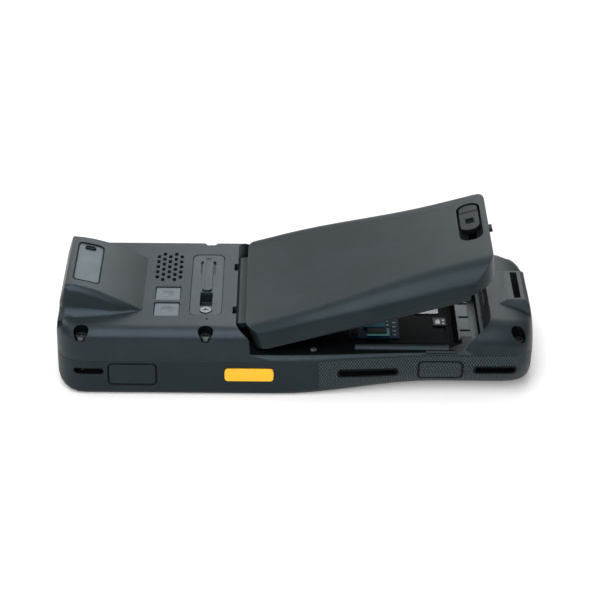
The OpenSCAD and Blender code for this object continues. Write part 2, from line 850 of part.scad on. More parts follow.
module option_cover(y) {
    color("#82888c")
        difference() {
            plate(option_x0 + option_gap, option_x0 + option_size - option_gap, y - option_size / 2 + option_gap,
                y + option_size / 2 - option_gap, 0.6, body_h - option_depth, body_h - 0.4);
            translate([option_x0 + option_size / 2, y, body_h + 7.1])
                sphere(8);
        }
}
module option_cover_far() {
    option_cover(option_far_y);
}
module option_cover_near() {
    option_cover(option_near_y);
}

module strap_panel() {
    z0 = body_h - panel_depth;
    color("#50585b")
        difference() {
            plate(panel_x0 + panel_gap, panel_x1 - panel_gap, panel_y0 + panel_gap, panel_y1 - panel_gap,
                panel_r - panel_gap, z0, body_h - 0.15);
            plate(bar_x - 3.2, bar_x + 3.2, 8, bar_y1 - 2, 1, z0 - 1, body_h);
            box(bar_x - 2.6, bar_x + 2.6, pocket_y0, pocket_y1, z0 - 1, body_h);
            post(bar_x, strap_screw_y, z0 - 1, body_h, strap_screw_r + 0.2);
        }
}
module strap_bar() {
    color("#5d666a")
        difference() {
            plate(bar_x - bar_w / 2, bar_x + bar_w / 2, bar_y0, bar_y1, bar_w / 2 - 0.1, body_h - 0.15, body_h + 0.7);
            plate(bar_x - bar_w / 2 + 0.9, bar_x + bar_w / 2 - 0.9, bar_y0 + 0.9, bar_y1 - 0.9, 0.6,
                body_h + 0.4, body_h + 1);
        }
}
module strap_screw() {
    z0 = body_h - panel_depth;
    color("#c9ccce")
        difference() {
            union() {
                post(bar_x, strap_screw_y, z0, z0 + 1.1, strap_screw_r);
                post(bar_x, strap_screw_y, body_h - 2.8, z0, 0.96);
            }
            for (a = [0, 90])
                translate([bar_x, strap_screw_y, z0 + 1.1])
                    rotate([0, 0, a])
                        cube([2.6, 0.6, 1], center = true);
        }
}

module rim_pins() {
    color("#c4c6c8")
        both_sides()
            post(7, head_w / 2 - 5, rim_z - 1.2, rim_z + 0.1, 1.3);
}

module main_board() {
    color("#1f4a37")
        difference() {
            box(engine_x0, 52, -board_y, board_y, board_z, board_z + board_t);
            box(14, 53, -big, -22, 0, big);
            box(14, 53, 22, big, 0, big);
        }
}
module shield_can() {
    color("#aeb1b3")
        difference() {
            box(-62, -34, -16, 16, board_z + board_t, board_z + board_t + 3);
            box(-61.7, -34.3, -15.7, 15.7, board_z, board_z + board_t + 2.7);
        }
}
module key_switches() {
    color("#25282a")
        both_sides()
            on_side(side_key_x)
                box(-3, 3, wall + side_flange_gap + 1 + side_key_travel + 0.1, head_w / 2 - board_y + 2, 6.4, board_z);
}

// What lies on the bay floor
bay_board = [22.5, 43.5, -14, 14];
module bay_board() {
    color("#1d2f3d")
        box(bay_board[0], bay_board[1], bay_board[2], bay_board[3], bay_floor_z, bay_floor_z + 0.35);
}
module card_socket() {
    z = bay_floor_z + 0.35;
    color("#9da2a5")
        difference() {
            box(26, 37, -11.5, 11, z, z + 0.3);
            box(28, 35, -9, 1, z - 1, z + 1);
            box(28, 35, 3, 9, z - 1, z + 1);
        }
}
module board_pads() {
    z = bay_floor_z + 0.35;
    color("#c9b06a")
        for (i = [0:5], j = [0:1])
            box(38.4 + j * 2.4, 39.9 + j * 2.4, -12 + i * 2.6, -10.5 + i * 2.6, z, z + 0.1);
}
block_x = notch_x + 4;
module bay_plate() {
    color("#9a9da0")
        plate(block_x - 8, block_x + 3, notch_y1 + 3.4, 23, 1, bay_floor_z, bay_floor_z + 0.4);
}
module terminal_block() {
    color("#141617")
        difference() {
            box(block_x, block_x + 5, notch_y0 + 1.2, notch_y1 - 1.2, bay_floor_z, bay_floor_z + 3);
            for (i = [0:strip_n - 1])
                box(block_x + 1, block_x + 6, strip_y(i) - 0.6, strip_y(i) + 0.6, bay_floor_z + 1, bay_floor_z + 4);
        }
}
module terminal_springs() {
    color("#e0dccb")
        for (i = [0:strip_n - 1])
            across(strip_y(i) - 0.5, strip_y(i) + 0.5)
                translate([block_x, bay_floor_z])
                    polygon([[1, 1], [4.5, 1], [4.5, 1.4], [3.6, 3.6], [2.4, 3.6], [1, 1.4]]);
}

module side_key() {
    color("#feb53a")
        on_side(side_key_x) {
            plate_side(side_key_l, side_key_h, -side_key_proud, wall + side_flange_gap);
            plate_side(side_key_l + 2, side_key_h + 1.6, wall + side_flange_gap, wall + side_flange_gap + 1);
        }
}
module side_key_near() {
    side_key();
}
module side_key_far() {
    mirror([0, 1, 0])
        side_key();
}

module port_plug(p) {
    xs = [p[0] - 1, (p[0] + p[1]) / 2, p[1] + 1];
    intersection() {
        loft(xs, [for (x = xs) section(x, 0)]);
        side_patch(p, plug_gap, plug_t, plug_r);
    }
}
module head_plug() {
    color("#2a2f31")
        port_plug(head_plug);
}
module grip_plug() {
    color("#33393b")
        port_plug(grip_plug);
}

module touch_glass() {
    color("#0c0e10")
        plate(glass_x0, glass_x1, -glass_y, glass_y, 3.8, glass_z, glass_seat_z);
}
module display_module() {
    color("#2e3336") {
        box(screen_x0 + 0.3, screen_x1 - 0.3, -screen_y + 0.3, screen_y - 0.3, glass_seat_z, deck_z);
        box(screen_x0 - 2, screen_x1 + 2, -screen_y - 1, screen_y + 1, deck_z, deck_z + 2.6);
    }
}
module keypad_board() {
    color("#1f4a37")
        difference() {
            box(pad_x0 - 1, pad_x1 - 2, -pad_y - 4.6, pad_y + 4.6, pad_board_z, pad_board_z + pad_board_t);
            both_sides()
                box(66, big, 20, big, 0, big);
        }
}

// A key with its cap below the deck and its flange above it
module key(x, y, l, w) {
    plate(x - l / 2, x + l / 2, y - w / 2, y + w / 2, 1.5, key_z, flange_z);
    plate(x - l / 2 - flange_over, x + l / 2 + flange_over, y - w / 2 - flange_over, y + w / 2 + flange_over, 2,
        flange_z, flange_z + flange_t);
}
module front_scan_key() {
    color("#feb53a")
        key(scan_key_x, 0, scan_key_l, scan_key_w);
}
module function_key_near() {
    color("#6b7276")
        key(scan_key_x, -function_y, key_l, function_w);
}
module function_key_far() {
    color("#6b7276")
        key(scan_key_x, function_y, key_l, function_w);
}
module number_key(i) {
    color("#dfe1dd")
        key(row_x[floor(i / 3)], col_y[i % 3], key_l, key_w);
}

rear_housing();
front_housing();
housing_seal();
housing_screws();
hump_plate();
scanner_window();
scan_engine();
engine_bracket();
speaker();
option_cover_far();
option_cover_near();
strap_panel();
strap_bar();
strap_screw();
rim_pins();
main_board();
shield_can();
key_switches();
bay_board();
card_socket();
board_pads();
bay_plate();
terminal_block();
terminal_springs();
battery_cover();
battery_case();
battery_contacts();
latch_slider();
side_key_near();
side_key_far();
head_plug();
grip_plug();
touch_glass();
display_module();
keypad_board();
front_scan_key();
function_key_near();
function_key_far();
for (i = [0:11])
    number_key(i);
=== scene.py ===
# %% [markdown]
# # A barcode terminal, dressed for its portrait
# The solids of this handheld terminal come from its CAD model. This notebook loads
# them as a fixed frame, gives each one the finish it has on the real object, adds the
# fine work that a CAD model leaves out, and sets up a floor, lamps and a camera.

# %% Load the frame
import math

import bmesh
import bpy
import numpy as np
from mathutils import Matrix, Vector
from mathutils.bvhtree import BVHTree


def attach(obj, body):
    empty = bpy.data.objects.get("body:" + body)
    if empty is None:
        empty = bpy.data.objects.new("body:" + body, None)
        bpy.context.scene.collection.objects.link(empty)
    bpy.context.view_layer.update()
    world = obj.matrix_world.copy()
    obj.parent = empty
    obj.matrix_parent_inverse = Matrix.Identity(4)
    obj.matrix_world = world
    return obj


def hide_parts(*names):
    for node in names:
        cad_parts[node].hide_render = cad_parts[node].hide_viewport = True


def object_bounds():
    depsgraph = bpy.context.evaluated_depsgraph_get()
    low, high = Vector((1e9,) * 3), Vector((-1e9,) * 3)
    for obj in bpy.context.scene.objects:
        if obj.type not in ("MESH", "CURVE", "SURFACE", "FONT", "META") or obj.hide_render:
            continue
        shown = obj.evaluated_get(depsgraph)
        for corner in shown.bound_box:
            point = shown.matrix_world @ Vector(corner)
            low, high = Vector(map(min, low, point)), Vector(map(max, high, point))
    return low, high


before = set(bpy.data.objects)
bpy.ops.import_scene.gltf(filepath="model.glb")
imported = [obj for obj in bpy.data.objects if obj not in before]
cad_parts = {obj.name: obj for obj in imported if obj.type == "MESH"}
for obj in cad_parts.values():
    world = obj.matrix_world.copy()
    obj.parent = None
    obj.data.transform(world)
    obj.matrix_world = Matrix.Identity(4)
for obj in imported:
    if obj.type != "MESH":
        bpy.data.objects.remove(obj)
cad_low, cad_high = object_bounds()
print("CAD box, mm:", [round(1000 * (b - a), 1) for a, b in zip(cad_low, cad_high)])

# %% [markdown]
# ## Units and two helpers
# Blender counts in metres, but a terminal is measured in millimetres, so `MM` turns
# one into the other. Colours are picked as sRGB hex codes, the kind a paint program
# shows, and `linear` turns them into the light values that a shader works with.
# `add` makes one shader node with its settings, its input values and its links. An
# input goes by its name, or by its number where a node has several of one name.

# %% Units and helpers
MM = 0.001
given = len(bpy.data.materials)           # those that came with the CAD model


def linear(code):
    """The opaque linear colour of a hex code such as "3c4144"."""
    parts = [int(code[i:i + 2], 16) / 255 for i in (0, 2, 4)]
    return [c / 12.92 if c <= 0.04045 else ((c + 0.055) / 1.055) ** 2.4 for c in parts] + [1.0]


def add(tree, kind, settings=None, values=None, links=None):
    """Adds one shader node."""
    made = tree.nodes.new("ShaderNode" + kind)
    for name, value in (settings or {}).items():
        setattr(made, name, value)
    for name, value in (values or {}).items():
        made.inputs[name].default_value = value
    for name, source in (links or {}).items():
        tree.links.new(source, made.inputs[name])
    return made


def start_material(name):
    """An empty material: its tree, its output node and the place on the solid, in metres."""
    material = bpy.data.materials.new(name)
    material.use_nodes = True
    tree = material.node_tree
    tree.nodes.clear()
    output = add(tree, "OutputMaterial")
    place = add(tree, "TexCoord").outputs["Object"]
    return material, tree, output, place


print("pure orange in linear light:", [round(c, 3) for c in linear("feb53a")])

# %% [markdown]
# ## Dots on the grip
# The grip half of the front housing has rows of small raised dots, cut into the mould,
# so that a gloved hand doesn't slip. Thousands of modelled domes would be heavy. Two
# sine waves multiplied have their peaks on just such a staggered lattice, so they drive
# a bump node, and a paler colour on the dome tops as a painted highlight. Two ramps
# keep the dots on the grip and off the foot that the terminal stands on.

# %% Grip dots
DOT_STEP, DOT_ROWS, DOT_HEIGHT = 1.2, 0.95, 0.3      # mm
GRIP_START, FOOT_END = (9.2, 9.6), (2.5, 4.5)        # mm along and up, as ramps


def grip_dots(tree, place, surface, tint):
    """Puts rows of domes on a surface normal and its tint, each row shifted by half a step."""
    parts = add(tree, "SeparateXYZ", links={"Vector": place})
    across = add(tree, "Math", {"operation": "ABSOLUTE"}, links={0: parts.outputs["Y"]})
    along = add(tree, "Math", {"operation": "SUBTRACT"},
                links={0: parts.outputs["X"], 1: across.outputs[0]})
    waves = []
    for source, pitch in ((along.outputs[0], DOT_STEP), (parts.outputs["Z"], 2 * DOT_ROWS)):
        turns = add(tree, "Math", {"operation": "MULTIPLY"}, {1: 2 * math.pi / (pitch * MM)},
                    {0: source})
        waves.append(add(tree, "Math", {"operation": "SINE"}, links={0: turns.outputs[0]}))
    peaks = add(tree, "Math", {"operation": "MULTIPLY"},
                links={0: waves[0].outputs[0], 1: waves[1].outputs[0]})
    domes = add(tree, "MapRange", {"interpolation_type": "SMOOTHSTEP"},
                {"From Min": -0.15, "From Max": 0.7}, {"Value": peaks.outputs[0]})
    ramps = [add(tree, "MapRange", values={"From Min": low * MM, "From Max": high * MM},
                 links={"Value": parts.outputs[axis]})
             for axis, (low, high) in (("X", GRIP_START), ("Z", FOOT_END))]
    where = add(tree, "Math", {"operation": "MULTIPLY"},
                links={0: ramps[0].outputs["Result"], 1: ramps[1].outputs["Result"]})
    height = add(tree, "Math", {"operation": "MULTIPLY"},
                 links={0: domes.outputs["Result"], 1: where.outputs[0]})
    raised = add(tree, "Bump", values={"Distance": DOT_HEIGHT * MM},
                 links={"Height": height.outputs[0], "Normal": surface})
    # The dome tops are painted paler: a painted highlight.
    dot_top_highlight = add(tree, "Mix", {"data_type": "RGBA"}, {7: linear("4a5457")},
                  {"Factor": height.outputs[0], 6: tint})
    return raised.outputs["Normal"], dot_top_highlight.outputs[2]


print("grip dots in a square centimetre:", round(100 / (DOT_STEP * DOT_ROWS)))

# %% [markdown]
# ## Moulded plastic
# The housings are ABS/PC, injected into a steel mould whose walls were roughened by
# sparks. The plastic takes on that fine grain, so it scatters light and hides
# scratches. Handling rubs the edges a little. A noise texture could colour the surface
# directly, but the grain is relief and not paint: here it drives a bump node, and the
# same noise only moves the roughness a little. The bevel node rounds every edge by a
# fraction of a millimetre, as the mould does, without changing the mesh, and where it
# turns the normal the edge is painted paler: partly rubbed, partly a painted highlight.

# %% Moulded plastic
CLOUD = 17                                           # mm, size of the patches of tone
SKY_TINT = "d2e8f8"                                  # the cool gloss of the dark plastic


# The second colour goes on the edges, partly as rubbing and partly as a painted highlight, and on
# random patches of tone.
def moulded(name, colour, rubbed_sheen_colour, roughness=0.5, gloss=0.3, grain=0.45, relief=0.03, edge=0.35,
            dotted=False):
    """Plastic from a mould. grain is the size of the spark marks and relief their depth, in mm."""
    material, tree, output, place = start_material(name)
    marks = add(tree, "TexNoise", values={"Scale": 1 / (grain * MM), "Detail": 3.0,
                                          "Roughness": 0.6}, links={"Vector": place})
    clouds = add(tree, "TexNoise", values={"Scale": 1 / (CLOUD * MM), "Detail": 4.0,
                                           "Roughness": 0.6}, links={"Vector": place})
    rounded = add(tree, "Bevel", {"samples": 6}, {"Radius": edge * MM})
    flat = add(tree, "NewGeometry").outputs["Normal"]
    turn = add(tree, "VectorMath", {"operation": "DOT_PRODUCT"},
               links={0: rounded.outputs["Normal"], 1: flat})
    # Paler edges where the bevel turns the normal: partly rubbed by handling, partly a painted
    # highlight.
    rubbed_edge_sheen = add(tree, "MapRange", values={"From Min": 0.995, "From Max": 0.86, "To Min": 0.0,
                                         "To Max": 0.55}, links={"Value": turn.outputs["Value"]})
    tone = add(tree, "MapRange", values={"From Min": 0.35, "From Max": 0.65, "To Min": -0.04,
                                         "To Max": 0.10}, links={"Value": clouds.outputs["Fac"]})
    share = add(tree, "Math", {"operation": "ADD", "use_clamp": True},
                links={0: rubbed_edge_sheen.outputs["Result"], 1: tone.outputs["Result"]})
    paint = add(tree, "Mix", {"data_type": "RGBA"}, {6: linear(colour), 7: linear(rubbed_sheen_colour)},
                {"Factor": share.outputs["Value"]})
    shine = add(tree, "MapRange",
                values={"From Min": 0.3, "From Max": 0.7, "To Min": roughness - 0.05,
                        "To Max": roughness + 0.06}, links={"Value": marks.outputs["Fac"]})
    surface, tint = rounded.outputs["Normal"], paint.outputs[2]
    if dotted:
        surface, tint = grip_dots(tree, place, surface, tint)
    rough = add(tree, "Bump", values={"Strength": 1.0, "Distance": relief * MM},
                links={"Height": marks.outputs["Fac"], "Normal": surface})
    shader = add(tree, "BsdfPrincipled",
                 values={"IOR": 1.5, "Specular IOR Level": gloss,
                         "Specular Tint": linear(SKY_TINT)},
                 links={"Base Color": tint, "Roughness": shine.outputs["Result"],
                        "Normal": rough.outputs["Normal"]})
    tree.links.new(shader.outputs["BSDF"], output.inputs["Surface"])
    return material


back_plastic = moulded("back housing, ABS-PC spark textured", "1a2023", "3c464a", 0.43, 0.3)
front_plastic = moulded("front housing, ABS-PC spark textured", "181e20", "333c3f", 0.48, 0.26,
                        dotted=True)
cover_plastic = moulded("pack cover, ABS-PC spark textured", "171e20", "374043", 0.4, 0.22)
print("textured housings:", back_plastic.name, "|", front_plastic.name, "|", cover_plastic.name)

# %% Smoother mouldings inside and on the back, with painted shade in the bay and painted light on its shelf
# The bay's floor and walls, the rim's top, the screw wells and the latch's well are the housing
# plastic painted near black: painted shade.
bay_painted_shade = moulded("battery bay, painted shade on the housing plastic", "0b0f10", "1c2224", 0.5, 0.02,
                      grain=1.2, relief=0.01)
# The shelf behind the battery is the same housing plastic, painted paler where the lamps light it:
# painted light.
shelf_painted_light = moulded("bay shelf, painted light on the housing plastic", "3c4548", "5a6467", 0.42, 0.5,
                        grain=0.6, relief=0.015)
case_plastic = moulded("battery case, PC satin moulded", "15191a", "2b3032", 0.4, 0.4, grain=0.8)
latch_plastic = moulded("latch slider, acetal moulded", "0e1315", "3c4447", 0.36, 0.14,
                        grain=0.6, edge=0.5)
plate_plastic = moulded("hump plate, PC satin moulded", "404a4f", "737d82", 0.42, 0.3,
                        grain=0.6, relief=0.015)
cap_plastic = moulded("option covers, PC satin moulded", "4f565a", "848b8f", 0.42, 0.28,
                      grain=0.6, relief=0.015)
panel_plastic = moulded("strap panel, PC satin moulded", "1d2427", "566063", 0.4, 0.34,
                        grain=0.6, relief=0.02)
black_nylon = moulded("terminal block, black glass-filled nylon", "0a0c0d", "202425", 0.5, 0.35,
                      grain=0.5)
inner_plastic = moulded("inner parts, black PBT", "121415", "303436", 0.55, 0.4, grain=0.5)
print("mouldings so far:", len(bpy.data.materials) - given)

# %% Keys
orange_plastic = moulded("scan keys, orange ABS satin moulded", "ffc024", "ffd770", 0.42, 0.4,
                         grain=0.7, relief=0.01)
pale_keys = moulded("number keys, pale silicone with hard coat", "d9dbd6", "eceded", 0.45, 0.5,
                    grain=0.7, relief=0.008)
grey_keys = moulded("function keys, grey silicone with hard coat", "656c70", "848b8f", 0.45, 0.5,
                    grain=0.7, relief=0.01)
print("moulded plastics:", len(bpy.data.materials) - given)

# %% [markdown]
# ## Rubber
# The plugs are soft TPU, and the seal is an extruded EPDM cord: darker and duller than
# the plastic. The same near-black is painted shade in the slots, round the plugs and the
# plate and on the pack's tongue under the lip, and marks the plate's sensor ring. Rubber
# comes from a mould as plastic does, so the same function makes it, with a rougher
# surface and less gloss.

# %% Rubber
rubber = moulded("plugs, TPU moulded", "171d1f", "343d3f", 0.52, 0.3, grain=0.35, relief=0.03)
grip_rubber = moulded("grip plug, TPU moulded with dots", "171d1f", "343d3f", 0.52, 0.3,
                      grain=0.35, dotted=True)
seal_and_gap_shade = moulded("EPDM seal, and painted shade on the pack's tongue", "0c0d0e", "161819", 0.75, 0.2, grain=0.5)
gap_shade_black = moulded("black painted shade in slots, gaps and the sensor ring", "07090a", "181c1e", 0.6, 0.12, grain=0.4)
print("rubbers: plugs, grip plug, seal and slot shade")

# %% [markdown]
# ## Metal
# The housing screws are steel with black zinc, the strap screw and the two pins are
# turned stainless steel, the can and the terminals are tinned, and the battery's
# contacts are gold on bronze. A metal has no colour of its own below its reflection, so
# the base colour is the reflection, and fine tool marks break it up.

# %% Metal
def metal(name, colour, roughness, streak, depth=0.01):
    """Bare or plated metal with tool marks streak mm apart and depth mm deep."""
    material, tree, output, place = start_material(name)
    marks = add(tree, "TexNoise", values={"Scale": 1 / (streak * MM), "Detail": 2.0},
                links={"Vector": place})
    shine = add(tree, "MapRange",
                values={"From Min": 0.3, "From Max": 0.7, "To Min": roughness - 0.06,
                        "To Max": roughness + 0.08}, links={"Value": marks.outputs["Fac"]})
    rounded = add(tree, "Bevel", {"samples": 4}, {"Radius": 0.12 * MM})
    scratch = add(tree, "Bump", values={"Distance": depth * MM},
                  links={"Height": marks.outputs["Fac"], "Normal": rounded.outputs["Normal"]})
    shader = add(tree, "BsdfPrincipled", values={"Base Color": linear(colour), "Metallic": 1.0},
                 links={"Roughness": shine.outputs["Result"], "Normal": scratch.outputs["Normal"]})
    tree.links.new(shader.outputs["BSDF"], output.inputs["Surface"])
    return material


zinc = metal("housing screws, black zinc plated steel", "4f5456", 0.34, 0.4)
screw_steel = metal("strap screw, turned stainless steel", "74797b", 0.42, 0.5)
pin_steel = metal("rim pins, turned stainless steel", "d0d4d6", 0.5, 0.5)
tin = metal("shield can and socket, tin plated steel", "aaaeb1", 0.36, 0.8)
gold = metal("contacts, gold plated bronze", "d9b25a", 0.28, 0.5)
plate_metal = metal("bay plate, stamped aluminium", "6e7275", 0.45, 0.9)
pale_tin = metal("pads, tin plated copper", "8ba39c", 0.55, 0.3)
bright_tin = metal("terminals, tin plated bronze", "a3a7aa", 0.55, 0.3)
print("metals:", ", ".join(m.name.split(",")[0] for m in (
    zinc, screw_steel, pin_steel, tin, gold, plate_metal, pale_tin, bright_tin)))

# %% [markdown]
# ## Circuit boards and glass
# A board is glass cloth in epoxy under a tinted lacquer. The cloth shows through as a
# faint check, a checker texture at the pitch of its threads. The display's glass and the
# scan window are clear over a dark print, so the eye gets a deep colour and a sharp
# reflection. No light goes through them, and a plain gloss with a clear coat is enough.

# %% Circuit boards
def board(name, lacquer, bare):
    """A circuit board: a weave of glass cloth 0.4 mm apart under clear tinted lacquer."""
    material, tree, output, place = start_material(name)
    weave = add(tree, "TexChecker", values={"Scale": 1 / (0.8 * MM), "Color1": linear(lacquer),
                                            "Color2": linear(bare)}, links={"Vector": place})
    shader = add(tree, "BsdfPrincipled", values={"Roughness": 0.5, "Specular IOR Level": 0.08},
                 links={"Base Color": weave.outputs["Color"]})
    tree.links.new(shader.outputs["BSDF"], output.inputs["Surface"])
    return material


green_board = board("main board, glass epoxy with green lacquer", "1c4632", "235340")
blue_board = board("bay board, glass epoxy with blue lacquer", "0d2a4a", "123456")
teal_mask = board("solder mask, teal lacquer", "0486a4", "0690ac")
print("boards:", green_board.name, "|", blue_board.name, "|", teal_mask.name)

# %% Glass
def glass(name, colour, roughness):
    """Glass or clear plastic over a dark print, with smears some 9 mm across."""
    material, tree, output, place = start_material(name)
    smears = add(tree, "TexNoise", values={"Scale": 1 / (9 * MM), "Detail": 5.0},
                 links={"Vector": place})
    shine = add(tree, "MapRange", values={"From Min": 0.3, "From Max": 0.7, "To Min": roughness,
                                          "To Max": roughness + 0.07},
                links={"Value": smears.outputs["Fac"]})
    shader = add(tree, "BsdfPrincipled",
                 values={"Base Color": linear(colour), "IOR": 1.52, "Coat Weight": 0.4,
                         "Coat Roughness": 0.03}, links={"Roughness": shine.outputs["Result"]})
    tree.links.new(shader.outputs["BSDF"], output.inputs["Surface"])
    return material


touch_glass = glass("touch panel, toughened glass printed black", "07090b", 0.05)
window_glass = glass("scan window, red acrylic", "4a0d10", 0.06)
print("glasses:", touch_glass.name, "|", window_glass.name)

# %% [markdown]
# ## Dress the solids
# Each solid keeps its CAD mesh where that shape is right, and only its material slot
# changes. A table from solid to finish is easier to read and to change than a line of
# code for each.

# %% Dress the solids
finishes = {
    "housing_seal": seal_and_gap_shade, "housing_screws": zinc, "scanner_window": window_glass,
    "scan_engine": inner_plastic, "engine_bracket": plate_metal, "speaker": inner_plastic,
    "option_cover_far": cap_plastic, "option_cover_near": cap_plastic,
    "strap_panel": panel_plastic, "strap_bar": panel_plastic, "strap_screw": screw_steel,
    "rim_pins": pin_steel, "main_board": green_board, "shield_can": tin,
    "key_switches": black_nylon, "bay_board": blue_board, "card_socket": tin,
    "board_pads": gold, "bay_plate": plate_metal, "terminal_block": black_nylon,
    "terminal_springs": gold, "battery_case": case_plastic, "battery_contacts": gold,
    "latch_slider": latch_plastic, "side_key_near": orange_plastic,
    "side_key_far": orange_plastic, "head_plug": rubber, "grip_plug": grip_rubber,
    "touch_glass": touch_glass, "display_module": inner_plastic, "keypad_board": green_board,
    "front_scan_key": orange_plastic, "function_key_near": grey_keys,
    "function_key_far": grey_keys, "hump_plate": plate_plastic, "rear_housing": back_plastic,
    "front_housing": front_plastic, "battery_cover": cover_plastic,
}
finishes.update({f"number_key_{i}": pale_keys for i in range(1, 13)})
for name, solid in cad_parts.items():
    solid.data.materials.clear()
    solid.data.materials.append(finishes[name])
print("dressed solids:", len(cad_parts))

# %% [markdown]
# ## The mould's true form
# The CAD model skins each housing over a row of flat-sided sections, and its facets
# would catch the light as stripes. The real mould is one smooth surface. A subdivision
# would round the facets but also shift every edge, so the shells keep their CAD mesh
# point for point, and only the direction in which it reflects changes: each corner of a
# facet on the outer skin takes its normal from a much finer skin, made here from the
# same formulas and the same lengths, in millimetres. Pairs give the head's value and
# then the grip's.

# %% Lengths of the body
END, HEIGHT, WIDTHS = 197.2 / 2, 29.8, (79.0, 73.0)
WAIST = (-8, 58)                          # where the head's form turns into the grip's
HEAD_CORNER, TAIL_ROUND = 12, 20          # how far the plan's corners reach along
HEAD_EDGE = 4                             # the head's round top edge, along and down
HEAD_FOOT_L, HEAD_FOOT = 10, 6            # the head's round foot, along and up
TAIL_DROP_L, TAIL_DROP, TAIL_RISE = 24, 7, 4
EDGE_Y, EDGE_Z, FOOT_R = (6.5, 12), (4, 8), (2.5, 13.5)
DRAFT = 0.5                               # how far the side leans in, to leave the mould


def ease(t):
    t = np.clip(t, 0, 1)
    return t * t * (3 - 2 * t)


def blend(a, b, t):
    return a + (b - a) * t


def waist(x):
    return ease((x - WAIST[0]) / (WAIST[1] - WAIST[0]))


def dip(t):
    return 1 - np.sqrt(np.maximum(0, 1 - t * t))


def bow(t, power):
    return np.maximum(0, 1 - t ** power) ** (1 / power)


def to_head(x, length):
    return np.clip((length - END - x) / length, 0, 1)


def to_tail(x, length):
    return np.clip((x - END + length) / length, 0, 1)


def half_width(x):
    wide = blend(*WIDTHS, waist(x)) / 2 * bow(to_tail(x, TAIL_ROUND), 5)
    return wide - HEAD_CORNER * dip(to_head(x, HEAD_CORNER))


print("width at head, waist and grip, mm:", [round(2 * float(half_width(x)), 1)
                                             for x in (-60, 20, 60)])

# %% Section of the body
def body_section(x):
    """Outline of the body across the terminal at x: round foot, side and round back edge."""
    wide = half_width(x)
    back = (HEIGHT - HEAD_EDGE * dip(to_head(x, HEAD_EDGE))
            - TAIL_DROP * (1 - bow(to_tail(x, TAIL_DROP_L), 2.2)))
    foot = (HEAD_FOOT * dip(to_head(x, HEAD_FOOT_L))
            + TAIL_RISE * (1 - bow(to_tail(x, TAIL_ROUND), 4)))
    room = (back - foot) / 2
    edge_y = min(blend(*EDGE_Y, waist(x)), wide - 1)
    edge_z = min(blend(*EDGE_Z, waist(x)), room)
    round_foot = min(blend(*FOOT_R, waist(x)), room, wide - 1)
    a = np.radians(np.linspace(0, 90, 25))
    low = np.stack([wide - round_foot + round_foot * np.sin(a),
                    foot + round_foot - round_foot * np.cos(a)], 1)
    high = np.stack([wide - DRAFT - edge_y + edge_y * np.cos(a),
                     back - edge_z + edge_z * np.sin(a)], 1)
    half = np.vstack([low, high])
    return np.vstack([half, half[::-1] * [-1, 1]])


print("height at the middle, mm:", round(float(np.ptp(body_section(0)[:, 1])), 1))

# %% Section of the scan hump
HUMP_L, HUMP_H, HUMP_SINK = 36.1, 11.6, 1     # length, height and how far its tip is sunk
HUMP_X = HUMP_L + 1 - END                     # its tip
BROW, NOSE = 0.93, 9                          # where the front bends down, and how far
TIP_HALF, TOP_HALF, FOOT_HALF = 21.4, 19.8, 27.5
TIP_SKIRT, FLARE, TOP_EDGE = 1.4, 3.5, 3


def hump_section(t):
    """Outline of the hump from its tip, t = 0, to its brow, t = 1: hollow flanks, a flat top."""
    end = max(0, (t - BROW) / (1 - BROW))
    z = (HEIGHT - HUMP_SINK + (HUMP_H + HUMP_SINK) * math.sin(math.radians(90 * t))
         - NOSE * end * end / (end + 0.08))
    base = min(HEIGHT, z - 0.8)
    wide = blend(TIP_HALF, TOP_HALF, ease(t))
    plan = half_width(max(-END, HUMP_X - t * HUMP_L)) - 0.8
    foot = min(plan, blend(TIP_HALF + TIP_SKIRT, FOOT_HALF, ease(1.5 * t)) + FLARE * t ** 12)
    e = min(TOP_EDGE, 0.45 * (z - base))
    top = wide + 0.9 * e
    knots = np.array([[foot + 0.6, base - 0.2], [foot - 0.1, base - 0.1],
                      [blend(foot, top, 0.5), blend(base, z - e, 0.1)],
                      [blend(foot, top, 0.82), blend(base, z - e, 0.36)],
                      [top, z - e], [wide + 0.62 * e, z - 0.38 * e], [wide, z], [wide - 2, z]])
    half = []
    for a, b, c, d in zip(knots, knots[1:], knots[2:], knots[3:]):
        for u in np.linspace(0, 1, 6)[:-1]:            # a smooth curve through the knots
            half.append(0.5 * (2 * b + (c - a) * u + (2 * a - 5 * b + 4 * c - d) * u * u
                               + (3 * b - a - 3 * c + d) * u ** 3))
    half = np.array(half + [knots[6]])
    return np.vstack([half, half[::-1] * [-1, 1]])


print("hump from x =", round(HUMP_X, 1), "to", round(HUMP_X - HUMP_L, 1), "mm")

# %% Fine skins to take normals from
def fine_skin(stations, sections):
    """A search tree over a finely skinned form, with its points, triangles and normals."""
    count = len(sections[0])
    points = np.array([[x, y, z] for x, ring in zip(stations, sections) for y, z in ring])
    triangles = []
    for i in range(len(stations) - 1):
        for j in range(count):
            a, b = i * count + j, i * count + (j + 1) % count
            triangles += [(a, b, b + count), (a, b + count, a + count)]
    triangles = np.array(triangles)
    corners = points[triangles]
    lean = np.cross(corners[:, 1] - corners[:, 0], corners[:, 2] - corners[:, 0])
    middle = np.repeat([[x, 0, float(np.mean(ring[:, 1]))] for x, ring in zip(stations, sections)],
                       count, axis=0)
    normals = np.zeros_like(points)
    for k in range(3):
        np.add.at(normals, triangles[:, k], lean)
    normals /= np.maximum(np.linalg.norm(normals, axis=1), 1e-9)[:, None]
    if ((points - middle) * normals).sum() < 0:
        normals = -normals
    return BVHTree.FromPolygons(points.tolist(), triangles.tolist()), points, triangles, normals


